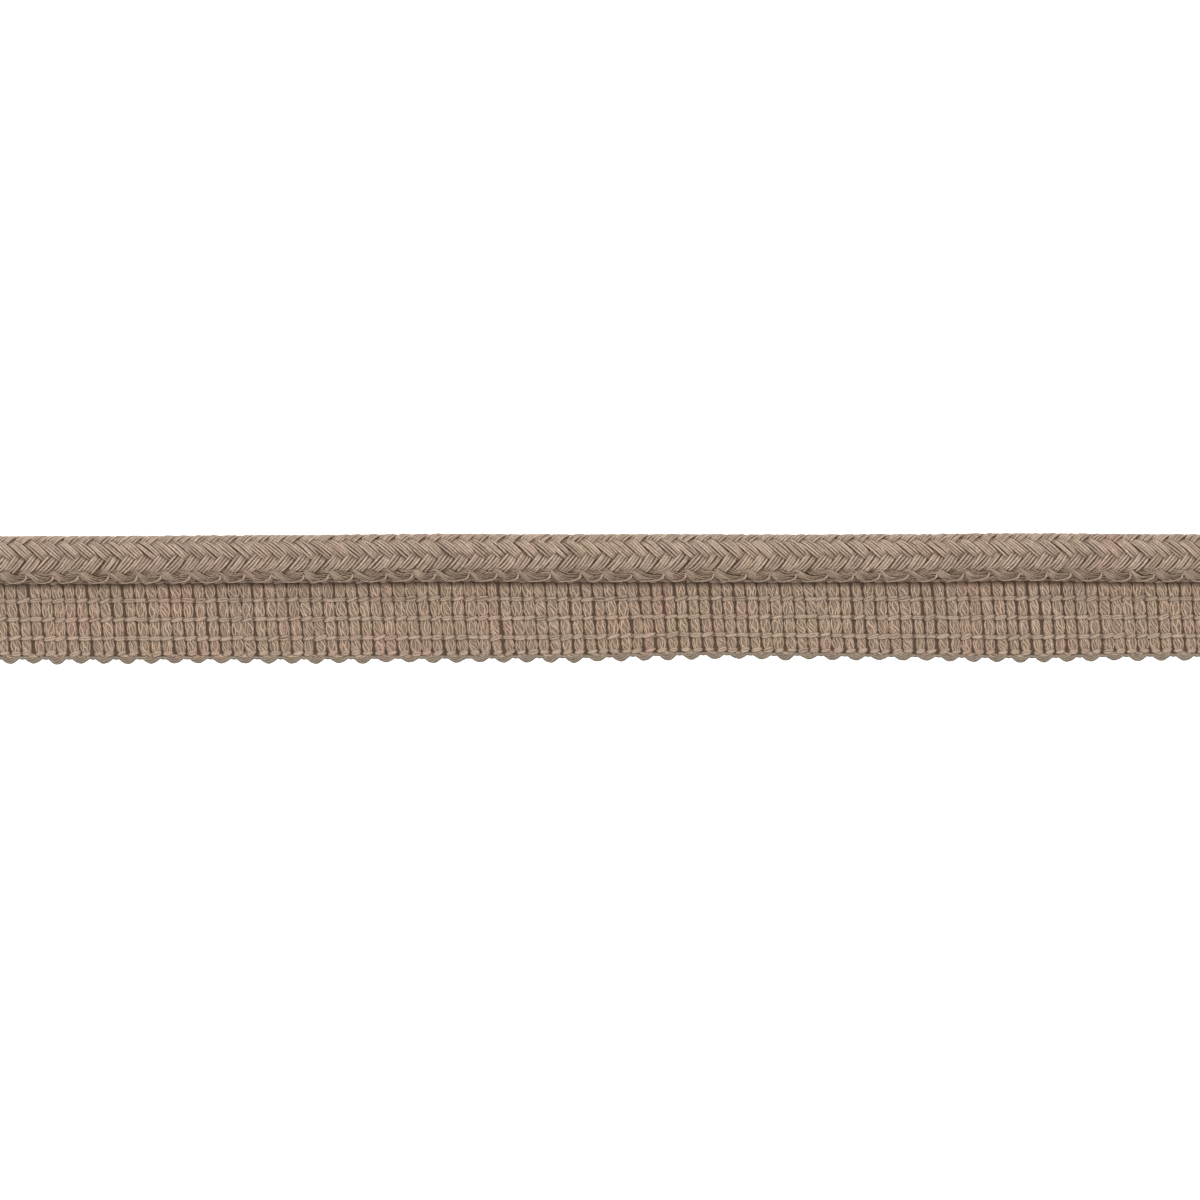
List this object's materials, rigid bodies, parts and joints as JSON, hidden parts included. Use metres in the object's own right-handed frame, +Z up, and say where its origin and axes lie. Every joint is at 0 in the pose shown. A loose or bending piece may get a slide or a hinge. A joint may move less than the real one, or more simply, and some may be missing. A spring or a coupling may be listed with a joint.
{
  "type": "length of flanged piping trim",
  "caption": "Straight cut length of sewing piping: a round braided cord along one side, caught to a flat knitted tape with a scalloped free edge.",
  "frame": {"origin": "middle of the footprint, on the surface that the trim lies on", "axes": "+X along the trim, +Y across it from the tape towards the cord, +Z up from the surface that it lies on"},
  "size_m": [0.171, 0.0174, 0.0062],
  "materials": {
    "cord": "matt taupe cotton yarn, braided with four fine plied yarns in each strand",
    "tape": "matt taupe cotton yarn, crochet-knitted in bundles of fine yarn held by chains of stitches"
  },
  "bodies": {
    "root": {"cord": "cord", "tape": "tape"}
  },
  "joints": []
}
